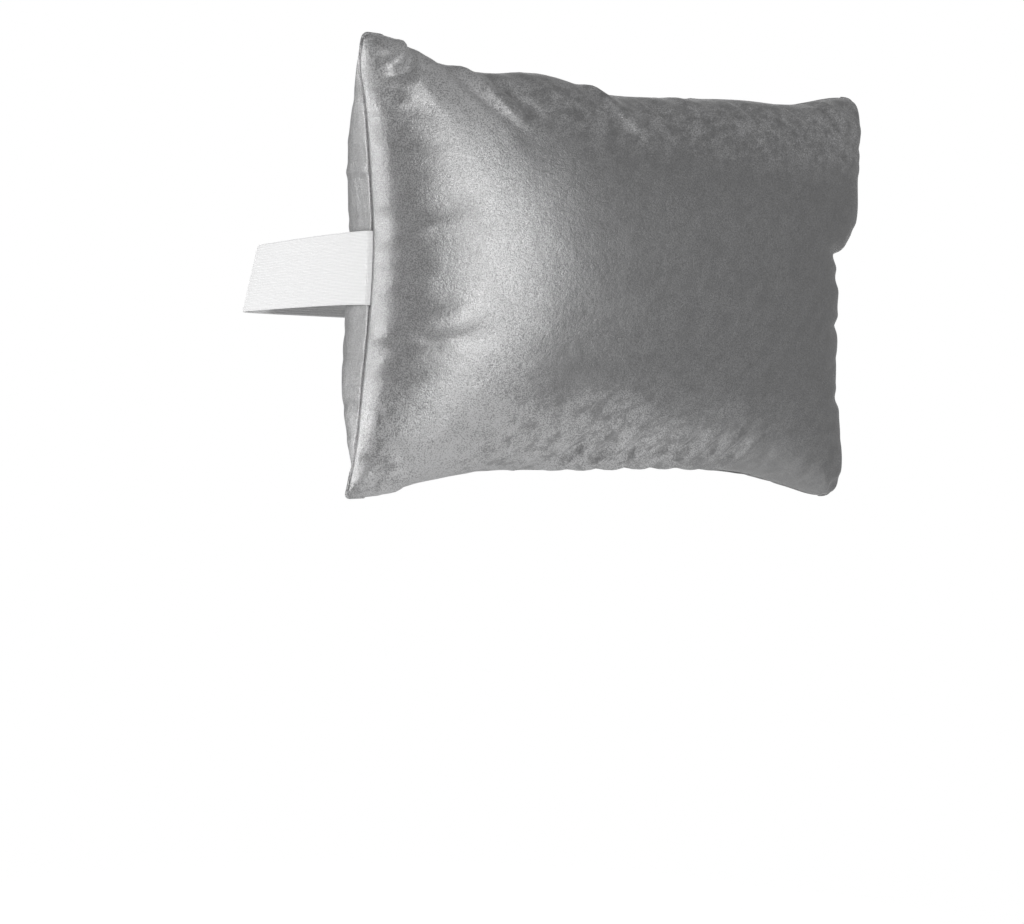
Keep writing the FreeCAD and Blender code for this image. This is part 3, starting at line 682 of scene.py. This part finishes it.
def inner_form(name, front, rear, scale):
    """A closed form inside the cover: both halves at half the cover's resolution, scaled about the seam."""
    middle = np.array([0, SEAM_Y, 0])
    halves = [middle + (half[::2, ::2] - middle) * scale for half in (front, rear)]
    rows, columns = halves[0].shape[:2]
    number = {}
    points = []
    faces = []
    for side, half in enumerate(halves):
        index = np.zeros((rows, columns), int)
        for i in range(rows):
            for j in range(columns):
                rim = i in (0, rows - 1) or j in (0, columns - 1)
                key = (i, j) if rim else (i, j, side)
                if key not in number:
                    number[key] = len(points)
                    points.append(half[i, j])
                index[i, j] = number[key]
        flat = index.ravel()
        faces += [[int(flat[k]) for k in face] for face in grid_faces(rows, columns, flip=side == 1)]
    return make_object(name, points, faces)


def inner_stitches(scale):
    """The row round the inner pillow, on its own rim."""
    spans = []
    for edge in EDGES:
        line = edge_line(edge, -THREAD, (scale[0], scale[2]))
        spans += stitch_spans(line, SEAM_Y, lambda x, z: False)
    return rods("inner_pillow_stitches", spans, THREAD)


# ---------------------------------------------------------------- build

EDGES = ("top", "bottom", "left", "right")
CASE_SCALE = np.array([0.9, 0.93, 0.87])  # the inner pillow's case against the cover, along X, Y and Z
FILLING_SCALE = np.array([0.885, 0.915, 0.85])
FRONT_SEED, REAR_SEED = 5, 9  # of the gathers
full_front = fit_depth(inflate())
full_rear = rear_form()
all_folds = FRONT_FOLDS + pleats() + puckers(FRONT_SEED)
front_cover = cover_panel("front_cover", add_folds(full_front, all_folds), -1)
rear_cover = cover_panel("rear_cover", add_folds(full_rear, puckers(REAR_SEED)), 1)
band = elastic_band()
cover_rows = {edge: cover_stitches(edge) for edge in EDGES}
tacks = {"left": tack_stitches("band_tack_left", -1), "right": tack_stitches("band_tack_right", 1)}
inner_case = inner_form("inner_pillow_case", full_front, full_rear, CASE_SCALE)
filling = inner_form("inner_pillow_filling", full_front, full_rear, FILLING_SCALE)
case_row = inner_stitches(CASE_SCALE)

# ---------------------------------------------------------------- materials

# The noises of the velvet: scale to a metre, detail and roughness
PILE = (1500, 1, 0.5)
PATCHES = (105, 6, 0.8)
STREAKS = (150, 4, 0.7)
DRIFT = (22, 4, 0.6)
STREAK_ANGLE = 50  # how steeply the streaks rise to the right, in degrees
STREAK_DRAW = 2.6  # how much longer than wide they are
DARK_PILE = (0.105, 0.105, 0.107)
# the light end of the pile's colour: the crushed patches and the painted highlight
PILE_LIT_AND_CRUSHED = (0.42, 0.42, 0.425)

# Where the pile is crushed: the heights and places between which its share changes, and that share
CRUSH_BOTTOM = (-20 * MM, -75 * MM)
CRUSH_WANDER = 50 * MM  # how far the upper limit of the crushed bottom wanders
# Painted light: the crushed bottom is painted lighter at the left, where light falls, and darker to the
# right. These are the X places of that fall and the share at each end.
CRUSH_LIGHT_FALL = (-60 * MM, 120 * MM)
CRUSH_LIT_LEFT, CRUSH_SHADED_RIGHT = 1.4, 0.1
CRUSH_TOP = (60 * MM, 100 * MM)
CRUSH_TOP_SHARE = 0.6
CRUSH_ANYWHERE = 0.1
CRUSH_PATCH = (0.38, 0.6)  # the noise values at which a crushed patch begins and is full
GRAIN_ANYWHERE = 0.16  # how much the grain shows where neither crush nor painted highlight is
CRUSH_AND_HIGHLIGHT_TINT = 0.18  # how much the crush and the painted highlight lighten the pile between its grains

# The painted highlight: a lighter band painted into the pile's colour left of the middle, where the key
# light's highlight falls
HIGHLIGHT_BAND_X = -114 * MM  # its middle, at the height HIGHLIGHT_BAND_LEVEL
HIGHLIGHT_BAND_LEVEL = -5 * MM
HIGHLIGHT_BAND_BEND = 2.6  # how it bends to the left above and below that, to a metre
HIGHLIGHT_BAND_RAGGED = 60 * MM  # how far its edges wander
HIGHLIGHT_BAND_LEFT = 22 * MM  # how far it reaches to each side
HIGHLIGHT_BAND_RIGHT = 46 * MM
HIGHLIGHT_BAND_BESIDE = 0.3  # the share of it that goes on to the left seam

CROSS_THREAD = 0.9 * MM  # from one cross thread of the elastic to the next


def material(name, **inputs):
    """A new material, its node tree and its shader, with the constants on the shader's own sockets."""
    made = bpy.data.materials.new(name)
    made.use_nodes = True
    shader = made.node_tree.nodes["Principled BSDF"]
    for key, value in inputs.items():
        shader.inputs[key.replace("_", " ")].default_value = value
    return made, made.node_tree, shader


def feed(tree, shader, **sockets):
    """Links a value to each of the shader's sockets named."""
    for key, value in sockets.items():
        tree.links.new(value, shader.inputs[key.replace("_", " ")])


def node(tree, kind, **settings):
    """Adds a shader node; a setting that isn't a property of the node is one of its inputs."""
    made = tree.nodes.new(kind)
    for key, value in settings.items():
        if hasattr(made, key):
            setattr(made, key, value)
        else:
            made.inputs[key.replace("_", " ")].default_value = value
    return made


def object_place(tree):
    return node(tree, "ShaderNodeTexCoord").outputs["Object"]


def axes(tree, vector):
    """The three numbers of a vector."""
    split = node(tree, "ShaderNodeSeparateXYZ")
    tree.links.new(vector, split.inputs[0])
    return [split.outputs[axis] for axis in ("X", "Y", "Z")]


def noise_at(tree, place, scale, detail=2, roughness=0.5):
    made = node(tree, "ShaderNodeTexNoise", Scale=scale, Detail=detail, Roughness=roughness)
    tree.links.new(place, made.inputs["Vector"])
    return made.outputs["Fac"]


def stretched(tree, place, angle, times):
    """A place turned by an angle in degrees about Y and drawn out along it, for streaks up to the right."""
    turned = node(tree, "ShaderNodeMapping", vector_type="TEXTURE")
    turned.inputs["Rotation"].default_value = (0, -math.radians(angle), 0)
    turned.inputs["Scale"].default_value = (times, 1, 1)
    tree.links.new(place, turned.inputs["Vector"])
    return turned.outputs["Vector"]


def remap(tree, value, low, high, to_low=0.0, to_high=1.0):
    """Spreads a value smoothly between two others."""
    made = node(tree, "ShaderNodeMapRange", interpolation_type="SMOOTHSTEP")
    for name, number in zip(("From Min", "From Max", "To Min", "To Max"), (low, high, to_low, to_high)):
        made.inputs[name].default_value = number
    tree.links.new(value, made.inputs["Value"])
    return made.outputs["Result"]


def combine(tree, operation, a, b):
    """A Math node over two values, each a socket or a number."""
    made = node(tree, "ShaderNodeMath", operation=operation)
    for socket, value in zip(made.inputs, (a, b)):
        if isinstance(value, (int, float)):
            socket.default_value = value
        else:
            tree.links.new(value, socket)
    return made.outputs[0]


def tint(tree, factor, low, high):
    """A colour between two others, by a factor."""
    made = node(tree, "ShaderNodeMix", data_type="RGBA")
    made.inputs["A"].default_value = (*low, 1)
    made.inputs["B"].default_value = (*high, 1)
    tree.links.new(factor, made.inputs["Factor"])
    return made.outputs["Result"]


def bump(tree, height, distance, strength=1.0, under=None):
    made = node(tree, "ShaderNodeBump", Distance=distance, Strength=strength)
    tree.links.new(height, made.inputs["Height"])
    if under is not None:
        tree.links.new(under, made.inputs["Normal"])
    return made.outputs["Normal"]


def painted_highlight_band(tree, x, z, patches):
    """Painted highlight: 1 down the middle of the band where the key light's highlight falls, and less away
    from it, with ragged edges.
    """
    level = combine(tree, "ADD", z, -HIGHLIGHT_BAND_LEVEL)
    bend = combine(tree, "MULTIPLY", combine(tree, "MULTIPLY", level, level), HIGHLIGHT_BAND_BEND)
    ragged = combine(tree, "MULTIPLY", combine(tree, "SUBTRACT", patches, 0.5), HIGHLIGHT_BAND_RAGGED)
    off = combine(tree, "ADD", combine(tree, "SUBTRACT", x, HIGHLIGHT_BAND_X), combine(tree, "ADD", bend, ragged))
    left = remap(tree, off, -HIGHLIGHT_BAND_LEFT, 0, HIGHLIGHT_BAND_BESIDE, 1)
    right = remap(tree, off, 0, HIGHLIGHT_BAND_RIGHT, 1, 0)
    return combine(tree, "MULTIPLY", left, right)


def crushed_share(tree, x, z, drift):
    """How crushed the pile is at each place: most along the bottom on the left, some along the top. Along
    the bottom it is painted lighter on the left, where light falls, and painted darker towards the right:
    painted light and shade.
    """
    wandering = combine(tree, "ADD", z, combine(tree, "MULTIPLY", drift, CRUSH_WANDER))
    near_bottom = remap(tree, wandering, *CRUSH_BOTTOM)
    near_top = remap(tree, z, *CRUSH_TOP, 0, CRUSH_TOP_SHARE)
    # painted light and shade: more crush colour on the lit left, less on the right
    painted_light_from_left = remap(tree, x, *CRUSH_LIGHT_FALL, CRUSH_LIT_LEFT, CRUSH_SHADED_RIGHT)
    near_bottom = combine(tree, "MULTIPLY", near_bottom, painted_light_from_left)
    return combine(tree, "ADD", near_bottom, combine(tree, "ADD", near_top, CRUSH_ANYWHERE))


def velvet():
    """Crushed velvet: fine lustrous pile, brushed into patches near the seams, with painted light in its
    colour: a painted highlight band, painted glints in its grain there, and crushed patches painted lighter
    at the left.
    """
    made, tree, shader = material(
        "crushed_velvet", IOR=1.8, Specular_IOR_Level=1.0, Sheen_Weight=0.4, Sheen_Roughness=0.3
    )
    place = object_place(tree)
    x, _, z = axes(tree, place)
    pile = noise_at(tree, place, *PILE)
    patches = noise_at(tree, place, *PATCHES)
    streaks = noise_at(tree, stretched(tree, place, STREAK_ANGLE, STREAK_DRAW), *STREAKS)
    drift = noise_at(tree, place, *DRIFT)
    both = combine(tree, "MULTIPLY", combine(tree, "ADD", patches, streaks), 0.5)
    crushed = combine(tree, "MULTIPLY", remap(tree, both, *CRUSH_PATCH), crushed_share(tree, x, z, drift))
    # the crushed patches plus the painted highlight band, both lightening the colour
    crush_and_painted_highlight = combine(tree, "ADD", crushed, painted_highlight_band(tree, x, z, drift))
    grain = remap(tree, pile, 0.36, 0.64)
    # the grain in the colour, strongest where crush and highlight are painted: painted glints
    grain_and_painted_glints = combine(tree, "MULTIPLY", grain, combine(tree, "ADD", crush_and_painted_highlight, GRAIN_ANYWHERE))
    shade = combine(tree, "ADD", combine(tree, "MULTIPLY", crush_and_painted_highlight, CRUSH_AND_HIGHLIGHT_TINT), grain_and_painted_glints)
    lay = bump(tree, patches, 1.2 * MM, 0.5)
    feed(
        tree,
        shader,
        Base_Color=tint(tree, shade, DARK_PILE, PILE_LIT_AND_CRUSHED),
        Roughness=remap(tree, patches, 0.3, 0.7, 0.3, 0.4),
        Normal=bump(tree, pile, 0.08 * MM, 1.0, lay),
    )
    return made


def elastic():
    """White elastic: soft ribs, cross threads between them and painted shade, a little grey, in each
    furrow.
    """
    made, tree, shader = material("white_elastic", Roughness=0.65, Sheen_Weight=0.15)
    along, across, _ = axes(tree, node(tree, "ShaderNodeUVMap", uv_map="along_and_across").outputs[0])
    turn = combine(tree, "MULTIPLY", across, math.pi * RIBS / STRAP_HALF)
    furrow = combine(tree, "POWER", combine(tree, "ABSOLUTE", combine(tree, "SINE", turn, 0), 0), 0.6)
    thread = combine(tree, "SINE", combine(tree, "MULTIPLY", along, 2 * math.pi / CROSS_THREAD), 0)
    fuzz = noise_at(tree, object_place(tree), 700, 3)
    # painted shade: the furrows between the ribs are painted grey
    ribbed = combine(tree, "MULTIPLY", furrow, 0.75)
    shade = combine(tree, "ADD", ribbed, combine(tree, "MULTIPLY", fuzz, 0.25))
    weave = bump(tree, combine(tree, "MULTIPLY", thread, furrow), 0.06 * MM)
    feed(
        tree,
        shader,
        # the grey end is the painted shade in the furrows
        Base_Color=tint(tree, shade, (0.58, 0.58, 0.59), (0.94, 0.94, 0.94)),
        Normal=bump(tree, fuzz, 0.1 * MM, 0.6, weave),
    )
    return made


def woven(name, dark, light, count, roughness=0.8):
    """Plain woven cloth or spun thread with count threads to a metre."""
    made, tree, shader = material(name, Roughness=roughness)
    place = object_place(tree)
    x, _, z = axes(tree, place)
    turns = [combine(tree, "MULTIPLY", axis, count * math.pi) for axis in (x, z)]
    warp, weft = [combine(tree, "SINE", turn, 0) for turn in turns]
    cross = combine(tree, "MULTIPLY", warp, weft)
    slub = noise_at(tree, place, count / 4, 3)
    shade = combine(tree, "ADD", combine(tree, "MULTIPLY", cross, 0.25), slub)
    feed(
        tree,
        shader,
        Base_Color=tint(tree, remap(tree, shade, 0.2, 0.8), dark, light),
        Normal=bump(tree, shade, 0.12 * MM),
    )
    return made


def fibre():
    """Loose polyester wadding."""
    made, tree, shader = material("polyester_fibre", Roughness=0.95, Subsurface_Weight=0.1)
    tufts = noise_at(tree, object_place(tree), 90, 8, 0.7)
    colour = tint(tree, tufts, (0.7, 0.7, 0.7), (0.92, 0.92, 0.92))
    feed(tree, shader, Base_Color=colour, Normal=bump(tree, tufts, 3 * MM))
    return made


def nylon():
    """The coil's monofilament."""
    made, tree, shader = material("grey_nylon")
    drawn = noise_at(tree, object_place(tree), 1500, 2)
    colour = tint(tree, drawn, (0.11, 0.11, 0.115), (0.17, 0.17, 0.175))
    feed(tree, shader, Base_Color=colour, Roughness=remap(tree, drawn, 0.3, 0.7, 0.28, 0.42))
    return made


def zip_metal():
    """Nickel-plated zinc, a little worn where it is handled."""
    made, tree, shader = material("plated_zinc", Metallic=1.0)
    wear = noise_at(tree, object_place(tree), 400, 4, 0.6)
    feed(
        tree,
        shader,
        Base_Color=tint(tree, wear, (0.42, 0.42, 0.43), (0.66, 0.66, 0.66)),
        Roughness=remap(tree, wear, 0.35, 0.7, 0.22, 0.42),
        Normal=bump(tree, wear, 0.04 * MM),
    )
    return made


def dress(piece, made):
    """Gives a piece, new or carried over from the frame, its one material."""
    piece.data.materials.clear()
    piece.data.materials.append(made)


VELVET = velvet()
ELASTIC = elastic()
THREAD_GREY = woven("grey_thread", (0.1, 0.1, 0.1), (0.2, 0.2, 0.2), 2500, 0.6)
TAPE = woven("zip_tape_cloth", (0.09, 0.09, 0.092), (0.2, 0.2, 0.205), 1400)
TICKING = woven("white_ticking", (0.62, 0.62, 0.61), (0.8, 0.8, 0.79), 900)
FIBRE = fibre()
NYLON = nylon()
METAL = zip_metal()

# ---------------------------------------------------------------- what moves with what


def stand_in(piece, made, slot, *replaced, body="cover"):
    """Dresses a new piece, gives it a body, and hides the CAD nodes that it stands for. Its slot argument
    is not used.
    """
    dress(piece, made)
    if body:
        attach(piece, body)
    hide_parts(*replaced)


stand_in(front_cover, VELVET, "velvet", "front_panel")
stand_in(rear_cover, VELVET, "velvet", "rear_panel")
stand_in(inner_case, TICKING, "ticking", "insert_case_front", "insert_case_rear")
stand_in(filling, FIBRE, "fibre_filling", "insert_filling")
stand_in(case_row, THREAD_GREY, "thread", "insert_seam_thread")
for edge, row in cover_rows.items():
    stand_in(row, THREAD_GREY, "thread", f"seam_thread_{edge}")
for side, tack in tacks.items():
    stand_in(tack, THREAD_GREY, "thread", f"strap_tack_{side}")
stand_in(band, ELASTIC, "elastic", "elastic_strap", body=None)
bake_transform(band)

CARRIED = {
    TAPE: ("zip_tape_front", "zip_tape_rear"),
    NYLON: ("zip_coil_front", "zip_coil_rear"),
    THREAD_GREY: ("zip_stitching_front", "zip_stitching_rear"),
    METAL: ("zip_top_stops", "zip_bottom_stop", "zip_slider", "zip_pull_tab"),
}
for made, names in CARRIED.items():
    for name in names:
        dress(bpy.data.objects[name], made)

# ---------------------------------------------------------------- floor, light and camera


def area_light(name, place, target, size, power, glints=True):
    """A softbox that faces its target; without glints it lights the pillow but isn't mirrored in it."""
    data = bpy.data.lights.new(name, "AREA")
    data.shape = "RECTANGLE"
    data.size, data.size_y = size
    data.energy = power
    lamp = bpy.data.objects.new(name, data)
    lamp.location = place
    lamp.rotation_euler = (Vector(target) - Vector(place)).to_track_quat("-Z", "Y").to_euler()
    lamp.visible_glossy = glints
    bpy.context.scene.collection.objects.link(lamp)


def pale_floor():
    """A round pale floor under the pillow, fading into the white surround and clear from below."""
    radius, fade_from, below = 0.95, 0.5, -0.6
    sides = 96
    turns = [2 * math.pi * k / sides for k in range(sides)]
    points = [(radius * math.cos(t), radius * math.sin(t), below) for t in turns]
    floor = make_object("floor", points, [list(range(sides))])
    made, tree, shader = material(
        "pale_floor", Base_Color=(0.9, 0.9, 0.9, 1), Roughness=0.9, Emission_Color=(1, 1, 1, 1)
    )
    flat = node(tree, "ShaderNodeVectorMath", operation="MULTIPLY")
    flat.inputs[1].default_value = (1, 1, 0)
    tree.links.new(object_place(tree), flat.inputs[0])
    out = node(tree, "ShaderNodeVectorMath", operation="LENGTH")
    tree.links.new(flat.outputs[0], out.inputs[0])
    fade = remap(tree, out.outputs["Value"], fade_from, radius, 1, 0)
    above = combine(tree, "SUBTRACT", 1, node(tree, "ShaderNodeNewGeometry").outputs["Backfacing"])
    seen = node(tree, "ShaderNodeLightPath").outputs["Is Camera Ray"]
    glow = remap(tree, seen, 0, 1, 0.2, 0.7)  # dimmer as a light than as the camera sees it
    feed(tree, shader, Alpha=combine(tree, "MULTIPLY", fade, above), Emission_Strength=glow)
    dress(floor, made)


def surround():
    """A world that the camera sees as white, and that lights the pillow more dimly."""
    world = bpy.data.worlds.new("studio")
    world.use_nodes = True
    tree = world.node_tree
    seen = tree.nodes["Background"]
    light = node(tree, "ShaderNodeBackground")
    for background, strength in ((seen, 1.0), (light, 0.22)):
        background.inputs["Color"].default_value = (1, 1, 1, 1)
        background.inputs["Strength"].default_value = strength
    mix = node(tree, "ShaderNodeMixShader")
    tree.links.new(node(tree, "ShaderNodeLightPath").outputs["Is Camera Ray"], mix.inputs["Fac"])
    tree.links.new(light.outputs[0], mix.inputs[1])
    tree.links.new(seen.outputs[0], mix.inputs[2])
    tree.links.new(mix.outputs[0], tree.nodes["World Output"].inputs["Surface"])
    bpy.context.scene.world = world


def studio():
    """A tall softbox in front, and at the left a soft light and a narrow one for the glint at the seam."""
    pale_floor()
    surround()
    middle = (0, SEAM_Y, 0)
    area_light("key", (-0.38, -1.75, 0.12), middle, (0.12, 1.7), 20)
    area_light("left", (-1.3, 0.6, 0.15), middle, (0.5, 1.2), 7, glints=False)
    area_light("left_glint", (-1.2, 0.8, 0.15), middle, (0.15, 1.2), 10)


def camera():
    """The view from the front left, a little above level, with a slight roll."""
    azimuth, elevation, roll = (math.radians(a) for a in (-32.3, 3.5, 2.5))
    distance = 1.1247
    target = Vector((-69.3 * MM, SEAM_Y, -104.8 * MM))
    back = Vector((
        math.sin(azimuth) * math.cos(elevation),
        -math.cos(azimuth) * math.cos(elevation),
        math.sin(elevation),
    ))
    data = bpy.data.cameras.new("camera")
    data.sensor_width = 36
    data.lens = 69.4
    made = bpy.data.objects.new("camera", data)
    bpy.context.scene.collection.objects.link(made)
    made.location = target + back * distance
    turn = (-back).to_track_quat("-Z", "Y").to_matrix().to_4x4()
    made.rotation_euler = (turn @ Matrix.Rotation(roll, 4, "Z")).to_euler()
    bpy.context.scene.camera = made


studio()
camera()
bpy.context.scene.view_settings.view_transform = "Standard"
